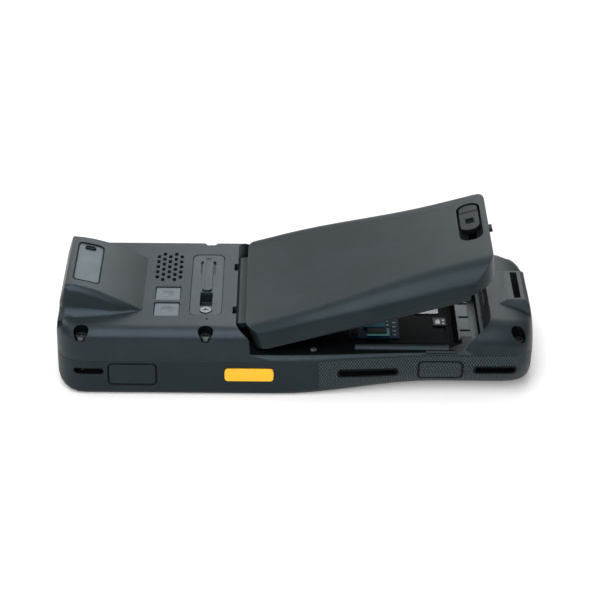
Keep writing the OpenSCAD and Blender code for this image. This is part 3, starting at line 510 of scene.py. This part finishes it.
head_stations = HEAD_CORNER * (1 - np.sin(np.radians(np.linspace(90, 0, 25)))) - END
tail_stations = END - TAIL_ROUND * (1.2 * np.linspace(1, 0, 60)[:-1] ** 3 + 0.001)
body_stations = np.concatenate([head_stations, np.linspace(-80, -10, 8),
                                np.linspace(*WAIST, 45), tail_stations])
body_skin = fine_skin(body_stations, [body_section(x) for x in body_stations])
hump_steps = np.concatenate([np.linspace(0.02, 0.92, 46), np.linspace(0.925, 1, 31)])
hump_skin = fine_skin([HUMP_X - t * HUMP_L for t in hump_steps],
                      [hump_section(t) for t in hump_steps])
print("fine skins:", len(body_skin[2]), "and", len(hump_skin[2]), "triangles")

# %% [markdown]
# ## Normals for a shell
# A mesh can carry its own normal for each face corner, apart from where its faces point.
# Each corner that lies on a fine skin takes the skin's normal there. The open pack is
# first swung shut about its axis, because its cover is a cut of the same skin. Any other
# corner takes the mean of the faces round it that are nearly flush, so flats stay flat.

# %% The pack's swing
AXIS = np.array([-24.7, 0, 43.3])         # mm
TILT = math.radians(16.4)                 # how far the pack stands open
CLOSE = np.array([[math.cos(TILT), 0, math.sin(TILT)], [0, 1, 0],
                  [-math.sin(TILT), 0, math.cos(TILT)]])
print("a point 100 mm along the pack rises, mm:", round(100 * math.sin(TILT), 1))

# %% True normals
REACH = 0.45                              # mm, how far a corner may lie off the skin
ON_SKIN, FLUSH = 0.9, 0.85                # cosines: of about 26 and 32 degrees


def skin_normals(corners, facing, skins):
    """The fine skin's normals at a face's corners, or none where the face isn't on a skin."""
    for tree, points, triangles, fine in skins:
        found = []
        for corner in corners:
            spot, _, index, far = tree.find_nearest(corner.tolist())
            if far > REACH:
                break
            a, b, c = points[triangles[index]]
            u, w, here = b - a, c - a, np.array(spot) - a
            grid = np.array([[u @ u, u @ w], [u @ w, w @ w]])
            share = np.linalg.solve(grid + 1e-12 * np.eye(2), [u @ here, w @ here])
            n = fine[triangles[index]].T @ [1 - share.sum(), share[0], share[1]]
            n /= np.linalg.norm(n)
            if n @ facing < ON_SKIN:
                break
            found.append(n)
        if len(found) == len(corners):
            return found
    return []


def true_normals(mesh, skins, open_pack):
    """A normal for each face corner, and how many faces lie on the fine skins."""
    corners = len(mesh.loops)
    at = np.empty(corners, int)
    mesh.loops.foreach_get("vertex_index", at)
    place = np.empty(3 * len(mesh.vertices))
    mesh.vertices.foreach_get("co", place)
    place = place.reshape(-1, 3) * 1000
    turn = CLOSE if open_pack else np.eye(3)
    moved = (place - AXIS) @ turn.T + AXIS
    key = [tuple(p) for p in np.round(place, 3)]
    same = {}
    for face in mesh.polygons:
        for v in face.vertices:
            same.setdefault(key[v], []).append(face.index)
    lean = np.array([face.normal for face in mesh.polygons])
    area = np.array([face.area for face in mesh.polygons])
    normals, on_skin = np.empty((corners, 3)), 0
    for face in mesh.polygons:
        found = skin_normals(moved[list(face.vertices)], turn @ lean[face.index], skins)
        on_skin += bool(found)
        for i, n in zip(face.loop_indices, found):
            normals[i] = turn.T @ n
        for i in face.loop_indices if not found else ():
            near = [f for f in same[key[at[i]]] if lean[f] @ lean[face.index] > FLUSH]
            n = (lean[near] * area[near, None]).sum(0)
            normals[i] = n / max(np.linalg.norm(n), 1e-9)
    return normals, on_skin


print("a corner is on the skin within", REACH, "mm")

# %% [markdown]
# ## A shell of its own
# A CAD solid may not be changed, so each shell is a copy of one that stands for it. On
# the copy, the normals can change, and faces in a zone of their own, such as a well or
# the inside of a slot, can take another material: painted shade in the bay, on the rim's
# top, in the wells, slots and latch well and on the pack's tongue, and painted light on
# the shelf. The long sides of the bay's rim are sharp in the CAD model and rounded in the
# mould, so their normals lean up towards the rim and the light runs over them as over a
# round edge.

# %% A shell
RIM_Z, RIM_ENDS = 19.5, (-25.5, 79)       # mm: the bay's rim, up and along
EDGE_LEAN, FOOT_LEAN = 0.92, 0.3          # how far the side's normals lean up


def round_rim(mesh, normals, height):
    """Leans the normals of the side below the rim, whose edge is at the height in mm."""
    for face in mesh.polygons:
        spots = [mesh.vertices[v].co / MM for v in face.vertices]
        if (abs(face.normal.y) > 0.9 and abs(face.center.y) > 30 * MM
                and all(RIM_ENDS[0] < p.x < RIM_ENDS[1] for p in spots)):
            for corner, spot in zip(face.loop_indices, spots):
                lean = EDGE_LEAN if abs(spot.z - height) < 0.2 else FOOT_LEAN
                side = np.array(face.normal) * math.sqrt(1 - lean * lean)
                normals[corner] = side + [0, 0, lean]


def shell(node, name, body, skins, open_pack=False, rim=None, zones=()):
    """A copy of a CAD shell that reflects like its smooth mould and stands for the node. Each
    zone is a test on a face's middle, in mm on the closed pack, and the material it gives, mostly
    painted shade."""
    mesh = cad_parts[node].data.copy()
    mesh.name = name
    piece = bpy.data.objects.new(name, mesh)
    bpy.context.collection.objects.link(piece)
    mesh.materials.clear()
    mesh.materials.append(finishes[node])
    normals, on_skin = true_normals(mesh, skins, open_pack)
    if rim:
        round_rim(mesh, normals, rim)
    mesh.polygons.foreach_set("use_smooth", [True] * len(mesh.polygons))
    mesh.normals_split_custom_set(normals.tolist())
    for index, (passes, finish) in enumerate(zones, 1):
        mesh.materials.append(finish)
        for face in mesh.polygons:
            middle = np.array(face.center) * 1000
            if passes(*(CLOSE @ (middle - AXIS) + AXIS if open_pack else middle)):
                face.material_index = index
    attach(piece, body)
    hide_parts(node)
    print(f"{name}: {on_skin} of {len(mesh.polygons)} faces lie on the fine skin")
    return piece


# %% Zones of another material: painted shade, and painted light on the shelf
BAY_X, BAY_HALF = (-30, 77.5), 29.5       # mm: the bay along, and half its width
SHELF_X, SHELF_Z = (68, 78), (17, 14.2)   # the shelf behind the battery, and its two levels
RIM_TOP_X = (-24, 64)                     # the flat top of the rim, along
SCREW_WELLS = ((-87.6, 36.3, 25), (-37, 36.3, 25), (91, 31, 21))   # x, y and the seat's z
WELL_R = 3.15
LATCH_X, LATCH_HALF = 72, 5.6             # the latch's well: its middle, and half its width,
LATCH_Y, LATCH_Z = (-11, 22.4), (20, 29.5)    # then its reach across and up
SLOTS = ((-85, 11.2, 12, 2.4), (29.5, 10.35, 23.8, 2.5), (81.8, 11.2, 16.4, 2.8))
# Painted shade: in front of this the tongue's faces are painted near black for the shade in the
# gap under the lip.
TONGUE_END = -28.4                        # in front of this, the tongue slides under the lip
NEAR = 0.1                                # mm, how exactly a face must lie on its level


def within(value, limits):
    return limits[0] < value < limits[1]


# Painted shade: the bay below the rim.
def in_bay(x, y, z):
    return within(x, BAY_X) and abs(y) < BAY_HALF and z < RIM_Z - 0.5


# Painted light: the shelf's two levels, where the lamps fall on them.
def on_shelf(x, y, z):
    on_level = min(abs(z - level) for level in SHELF_Z) < NEAR
    return within(x, SHELF_X) and abs(y) < BAY_HALF and on_level


# Painted shade: the rim's top, in the shadow of the open pack.
def on_rim_top(x, y, z):
    return within(x, RIM_TOP_X) and abs(y) > BAY_HALF - 0.5 and abs(z - RIM_Z) < NEAR


# Painted shade: the inside of the screw wells, above each seat.
def in_screw_well(x, y, z):
    return any(z > seat and math.hypot(x - at_x, abs(y) - at_y) < WELL_R
               for at_x, at_y, seat in SCREW_WELLS)


# Painted shade: the latch's well in the pack's cover.
def in_latch_well(x, y, z):
    return abs(x - LATCH_X) < LATCH_HALF and within(y, LATCH_Y) and within(z, LATCH_Z)


# Painted shade: the inside of the side slots.
def in_side_slot(x, y, z):
    return abs(y) < half_width(x) - 0.3 and any(
        abs(x - at_x) < wide / 2 + NEAR and abs(z - at_z) < tall / 2 + NEAR
        for at_x, at_z, wide, tall in SLOTS)


# Painted shade: the tongue's end, which lies in the dark gap under the lip.
def tongue_in_gap_shade(x, y, z):
    return x < TONGUE_END


print("zones: bay, shelf, rim, screw wells, latch well, side slots and tongue")

# %% Make the shells
shell("rear_housing", "back_shell", "housing", [hump_skin, body_skin], rim=RIM_Z,
      zones=[(in_bay, bay_painted_shade), (on_shelf, shelf_painted_light), (on_rim_top, bay_painted_shade),
             (in_screw_well, bay_painted_shade)])
shell("front_housing", "front_shell", "housing", [body_skin],
      zones=[(in_side_slot, gap_shade_black)])
shell("battery_cover", "pack_cover_shell", "battery_pack", [body_skin],
      open_pack=True, zones=[(in_latch_well, bay_painted_shade), (tongue_in_gap_shade, seal_and_gap_shade)])
shell("hump_plate", "hump_cover_plate", "housing", [hump_skin])
shell("head_plug", "head_port_plug", "housing", [body_skin])
shell("grip_plug", "grip_port_plug", "housing", [body_skin])

# %% [markdown]
# ## Bands of painted shade on the curved skin
# The strap slots, the groove round the hump plate and the gap round each plug fall in
# shade, and thin near-black bands paint that shade on; a ring of the same black marks
# the plate's light sensor. These are thin bands that follow the curved skin. Each is drawn
# flat as two rounded outlines, and a ray from outside sets every point down on the fine
# skin, as a printing pad would.

# %% A band that follows the skin
STEP = 1.5                                # mm, the longest straight piece of an outline


def rounded_outline(wide, tall, corner, steps=6):
    """Points round a rectangle with round corners, centred on the origin, in mm."""
    turn = np.radians(np.linspace(0, 90, steps))
    arc = corner * np.stack([np.cos(turn), np.sin(turn)], 1)
    points = []
    for sx, sy in ((1, 1), (-1, 1), (-1, -1), (1, -1)):
        part = arc if sx * sy > 0 else arc[::-1]
        points.append(part * [sx, sy] + [sx * (wide / 2 - corner), sy * (tall / 2 - corner)])
    points = np.vstack(points)
    fine = []
    for a, b in zip(points, np.roll(points, -1, axis=0)):
        count = max(1, round(float(np.hypot(*(b - a)) / STEP)))
        fine += [blend(a, b, i / count) for i in range(count)]
    return np.array(fine)


def band(name, middle, outer, inner, corner, look, skin, lift=0.04, depth=0.4):
    """A thin near-black band, mostly painted shade in a gap or groove, between two rounded
    outlines of (width, height), set down along look, the axis "Y", "-Y" or "Z". It is lift mm
    proud of the skin and depth mm deep in it."""
    outline = rounded_outline(*outer, corner)
    away = np.array({"Y": (0, 1, 0), "-Y": (0, -1, 0), "Z": (0, 0, 1)}[look])
    loops = []
    for flat in (outline, outline * [inner[0] / outer[0], inner[1] / outer[1]]):
        spots = [(middle[0] + u, middle[1] + v, 0) if look == "Z"
                 else (middle[0] + u, 0, middle[1] + v) for u, v in flat]
        loops.append([np.array(skin[0].ray_cast((np.array(p) + 90 * away).tolist(),
                                                (-away).tolist())[0]) for p in spots])
    count = len(outline)
    rings = [[p + rise * away for p in loops[which]]
             for which, rise in ((0, lift), (1, lift), (1, -depth), (0, -depth))]
    points = [tuple(p * MM) for ring in rings for p in ring]
    faces = [(a * count + i, a * count + (i + 1) % count, b * count + (i + 1) % count,
              b * count + i) for a, b in ((0, 1), (1, 2), (2, 3), (3, 0)) for i in range(count)]
    mesh = bpy.data.meshes.new(name)
    mesh.from_pydata(points, [], faces)
    work = bmesh.new()
    work.from_mesh(mesh)
    bmesh.ops.recalc_face_normals(work, faces=work.faces)
    work.to_mesh(mesh)
    work.free()
    mesh.materials.append(gap_shade_black)
    piece = bpy.data.objects.new(name, mesh)
    bpy.context.collection.objects.link(piece)
    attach(piece, "housing")
    return piece


print("points round a slot:", len(rounded_outline(*SLOTS[0][2:], 1.1)))

# %% Painted shade in the slots and the plate's groove, and the light sensor's ring
SLOT_SHADE_W = (0.2, 0.7, 0.7)                 # mm: the head's slot has only a thin edge
for side, look in (("near", "-Y"), ("far", "Y")):
    for number, ((x, z, wide, tall), edge) in enumerate(zip(SLOTS, SLOT_SHADE_W), 1):
        band(f"slot_shade_{side}_{number}", (x, z), (wide + 2 * edge, tall + 2 * edge),
             (wide, tall), 1.1 + edge / 2, look, body_skin)
band("plate_edge_shade", (-86.9, 0), (11.1, 31.5), (10.05, 30.45), 1.9, "Z", hump_skin, lift=0.06)
band("sensor_ring", (-87.1, 12.2), (4.6, 2.4), (3.4, 1.2), 1.15, "Z", hump_skin, lift=0.1)
print("bands on the skin:", 2 * len(SLOTS) + 2)

# %% Painted shade in the gaps round the plugs
PLUGS = {"head": (-67.1, 9.85, 19.4, 9.5), "grip": (59.3, 10.7, 17.8, 8.8)}
PLUG_SHADE_W = 1.1                              # mm, twice the width of the band of painted shade round a plug
for name, (x, z, wide, tall) in PLUGS.items():
    band(f"{name}_plug_gap_shade", (x, z), (wide + PLUG_SHADE_W, tall + PLUG_SHADE_W), (wide, tall), 2.3, "-Y",
         body_skin)
print("plug gap shades:", len(PLUGS))

# %% [markdown]
# ## Print on the keys
# The number keys carry their digits as raised ink. A text object is a curve that Blender
# fills and extrudes, so it stays editable. The keypad faces down, so each digit is laid
# on the underside of its key, and it reads with the scan head up.

# %% Digits
DIGIT_SIZE, INK_DEPTH = 4.2, 0.03         # mm
ink = moulded("key print, grey epoxy ink", "2a3034", "4a5054", 0.5, 0.3, grain=0.4, relief=0.005)
keys = {}
for name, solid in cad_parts.items():
    if name.startswith("number_key_"):
        spots = [solid.matrix_world @ v.co for v in solid.data.vertices]
        middle = Vector([sum(p[k] for p in spots) / len(spots) for k in range(3)])
        keys[name] = (middle, min(p.z for p in spots))
order = sorted(keys, key=lambda name: (round(keys[name][0].x / MM), -round(keys[name][0].y / MM)))
for label, name in zip("123456789*0#", order):
    middle, low_z = keys[name]
    print_data = bpy.data.curves.new(f"{name}_print", "FONT")
    print_data.body, print_data.size = label, DIGIT_SIZE * MM
    print_data.extrude = INK_DEPTH * MM
    print_data.align_x, print_data.align_y = "CENTER", "CENTER"
    print_data.materials.append(ink)
    piece = bpy.data.objects.new(f"{name}_print", print_data)
    bpy.context.collection.objects.link(piece)
    piece.matrix_world = Matrix(((0, -1, 0, middle.x), (-1, 0, 0, middle.y),
                                 (0, 0, -1, low_z), (0, 0, 0, 1)))
    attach(piece, name)
print("digits:", len(order), "rows by x, mm:", sorted({round(keys[n][0].x / MM) for n in order}))

# %% [markdown]
# ## Small work in the battery bay
# Under the open pack the bay shows its small work: a card reader and tin pads by the bay
# board, chips, and the terminals that feed the battery. Each is a few millimetres
# across, so a box with its edges broken by a bevel is what the real part looks like.
# Building them as lists of boxes in one mesh keeps the scene light, and each mesh gets
# the finish of one process: lacquer, epoxy, tin or nylon.

# %% A helper for small parts
def small_parts(name, boxes, finish, body, broken=0.12, stands_for=(), open_pack=False):
    """One piece made of boxes (x0, x1, y0, y1, z0, z1), in mm, with edges broken by a bevel.
    With open_pack the boxes are given on the closed pack and swung up with it."""
    work = bmesh.new()
    for box in boxes:
        made = bmesh.ops.create_cube(work, size=1)
        for v in made["verts"]:
            v.co = Vector([blend(box[2 * k], box[2 * k + 1], v.co[k] + 0.5) for k in range(3)])
        least = min(box[2 * k + 1] - box[2 * k] for k in range(3))
        edges = list({e for v in made["verts"] for e in v.link_edges})
        bmesh.ops.bevel(work, geom=edges, offset=min(broken, 0.3 * least), segments=2,
                        profile=0.5, affect="EDGES")
    for v in work.verts:
        co = np.array(v.co)
        v.co = Vector((CLOSE.T @ (co - AXIS) + AXIS if open_pack else co) * MM)
    mesh = bpy.data.meshes.new(name)
    work.to_mesh(mesh)
    work.free()
    mesh.materials.append(finish)
    piece = bpy.data.objects.new(name, mesh)
    bpy.context.collection.objects.link(piece)
    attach(piece, body)
    if stands_for:
        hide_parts(*stands_for)
    print(f"{name}: {len(boxes)} parts, {len(mesh.polygons)} faces")
    return piece


# %% Lacquer, chips and card reader
LOW = 13.18                               # mm, the level that these parts start at
teal_print = moulded("reader edge, teal acetal moulded", "5fbcb8", "8fd6d0", 0.5, 0.3,
                     grain=0.5, relief=0.01)
chip_epoxy = moulded("chips, black epoxy moulded", "15151c", "2c2c34", 0.5, 0.15, grain=0.3,
                     relief=0.01)
small_parts("board_mask", [(28.4, 37.6, -6.6, 9.0, LOW, 13.3)], teal_mask, "housing",
            0.02)
small_parts("board_chips", [(30, 37.4, -11.6, -7.8, LOW, 13.6),
                            (23.4, 26.2, -12.6, -9.4, LOW, 13.8),
                            (23.6, 26.2, -6.6, -4.2, LOW, 13.7)],
            chip_epoxy, "housing")
small_parts("card_reader", [(29.7, 39.3, -13.5, -12.2, LOW, 13.5),
                            (38.2, 39.3, -13.4, -9.4, LOW, 13.7),
                            (29.7, 30.4, 9.4, 13.4, LOW, 13.6)],
            teal_print, "housing", 0.08, ("card_socket",))

# %% Rows of tin pads
inner_row, outer_row = (-8, -4.8, -1.6, 1.6, 4.8), (-12.4, -9.4, -6, -2.8, 0.4, 3.6, 6.8, 10)
pins = (-2.6, -1.4, -0.2, 1, 2.2)
small_parts("board_tin_pads",
            [(38.2, 39.2, y - 0.45, y + 0.45, LOW, 13.3) for y in inner_row]
            + [(40.7, 42.1, y - 0.4, y + 0.4, LOW, 13.3) for y in outer_row]
            + [(24, 24.9, y, y + 0.5, LOW, 13.6) for y in pins],
            pale_tin, "housing", 0.06, ("board_pads",))

# %% Terminals of the battery
small_parts("terminal_socket", [(58.2, 63.8, -4.1, 2.1, 12.2, 12.85)], black_nylon, "housing",
            0.2, ("terminal_block",))
small_parts("terminal_plates", [(x0, x1, y0, y1, 12.75, 12.95) for x0, x1, y0, y1 in (
    (59.3, 61.2, -3.0, -0.2), (60.2, 60.8, -0.2, 0.7),
    (62.2, 63.1, -3.2, -2.0), (62.2, 63.1, -0.6, 0.6))],
            bright_tin, "housing", 0.06, ("terminal_springs",))

# %% Ribs on the shelf, and the strip that closes the latch's slot from inside, both dark as painted shade
small_parts("shelf_ribs", [(68.6, 72.8, y - 0.3, y + 0.3, 16.9, 17.3)
                           for y in (6.9, -4.0, -14.6, 17.6)],
            bay_painted_shade, "housing", 0.1)
small_parts("latch_slot_strip", [(LATCH_X - 1.8, LATCH_X + 1.8, -6, 24, 23.05, 23.7)],
            bay_painted_shade, "battery_pack", 0.05, open_pack=True)

# %% [markdown]
# ## Floor, lamps and camera
# The terminal lies on a plain pale floor. A little glow, only for rays from the camera
# and for reflections, makes it white there, and it still takes a soft shadow. Four large
# soft lamps light it: one behind, whose reflection lifts the flat back out of the dark
# plastic, a long one overhead for the round top edge of the near side, and two weaker
# ones at the left, behind and in front, for the slopes of the scan hump and the pack.

# %% Floor
FLOOR_HALF, FLOOR_GLOW = 4, 0.2           # metres, and how much whiter a seen floor is
floor_mesh = bpy.data.meshes.new("floor")
floor_mesh.from_pydata([(x * FLOOR_HALF, y * FLOOR_HALF, 0)
                        for x, y in ((-1, -1), (1, -1), (1, 1), (-1, 1))], [], [(0, 1, 2, 3)])
floor = bpy.data.objects.new("floor", floor_mesh)
bpy.context.collection.objects.link(floor)
floor.location.z = cad_low.z - 0.02 * MM
pale, tree, output, place = start_material("floor, pale matt paint")
paths = add(tree, "LightPath")
seen = add(tree, "Math", {"operation": "MAXIMUM"},
           links={0: paths.outputs["Is Camera Ray"], 1: paths.outputs["Is Glossy Ray"]})
seen_too = add(tree, "Math", {"operation": "MAXIMUM"},
               links={0: seen.outputs[0], 1: paths.outputs["Is Transmission Ray"]})
strength = add(tree, "Math", {"operation": "MULTIPLY"}, {1: FLOOR_GLOW}, {0: seen_too.outputs[0]})
matt = add(tree, "BsdfDiffuse", values={"Color": linear("d4d4d4")})
glow = add(tree, "Emission", values={"Color": (1, 1, 1, 1)},
           links={"Strength": strength.outputs[0]})
both = add(tree, "AddShader", links={0: matt.outputs[0], 1: glow.outputs[0]})
tree.links.new(both.outputs[0], output.inputs["Surface"])
floor_mesh.materials.append(pale)
print("floor at z, mm:", round(floor.location.z / MM, 2))

# %% Lamps
def lamp(name, size, place, target, power):
    """A soft rectangular lamp at place, turned to the target; lengths are in metres."""
    data = bpy.data.lights.new(name, "AREA")
    data.shape, data.size, data.size_y, data.energy = "RECTANGLE", *size, power
    made = bpy.data.objects.new(name, data)
    bpy.context.collection.objects.link(made)
    made.location = place
    made.rotation_euler = (Vector(place) - Vector(target)).to_track_quat("Z", "Y").to_euler()
    print(f"{name}: {power / (math.pi * size[0] * size[1]):.1f} W per square metre and steradian")
    return made


lamp("lamp_behind", (0.7, 0.65), (0.17, 1.2, 0.72), (0.17, 0, 0), 5.6)
lamp("lamp_above", (0.5, 1.85), (-0.09, -0.67, 1.0), (-0.09, -0.67, 0), 19.5)
lamp("lamp_left", (0.8, 0.8), (-0.84, 1.0, 0.5), (-0.84, 0, 0), 7.5)
lamp("lamp_near_left", (0.6, 0.6), (-0.9, -0.8, 0.6), (0, 0, 0.02), 3.0)
world = bpy.data.worlds.new("studio")
bpy.context.scene.world = world
world.use_nodes = True
sky = world.node_tree.nodes["Background"]
sky.inputs["Color"].default_value = (1, 1, 1, 1)
sky.inputs["Strength"].default_value = 0.3
bpy.context.scene.view_settings.view_transform = "Standard"

# %% Camera
IMAGE_W, SENSOR = 600, 36                 # pixels, mm
LENS = 2017                               # pixels, the lens's length on that image
aim = Vector((1.77, 13.93, 14.0)) * MM
azimuth, elevation, roll = math.radians(-0.7), math.radians(31), math.radians(0.85)
reach = 870 * MM
back = Vector((math.sin(azimuth) * math.cos(elevation), -math.cos(azimuth) * math.cos(elevation),
               math.sin(elevation)))
level = (-back).to_track_quat("-Z", "Y").to_matrix()
camera = bpy.data.objects.new("camera", bpy.data.cameras.new("camera"))
bpy.context.collection.objects.link(camera)
camera.location = aim + reach * back
camera.rotation_mode = "QUATERNION"
camera.rotation_quaternion = (Matrix.Rotation(-roll, 3, -back) @ level).to_quaternion()
camera.data.lens = LENS / IMAGE_W * SENSOR
camera.data.clip_start, camera.data.clip_end = 0.05, 20
bpy.context.scene.camera = camera
print("lens, mm:", round(camera.data.lens, 1))
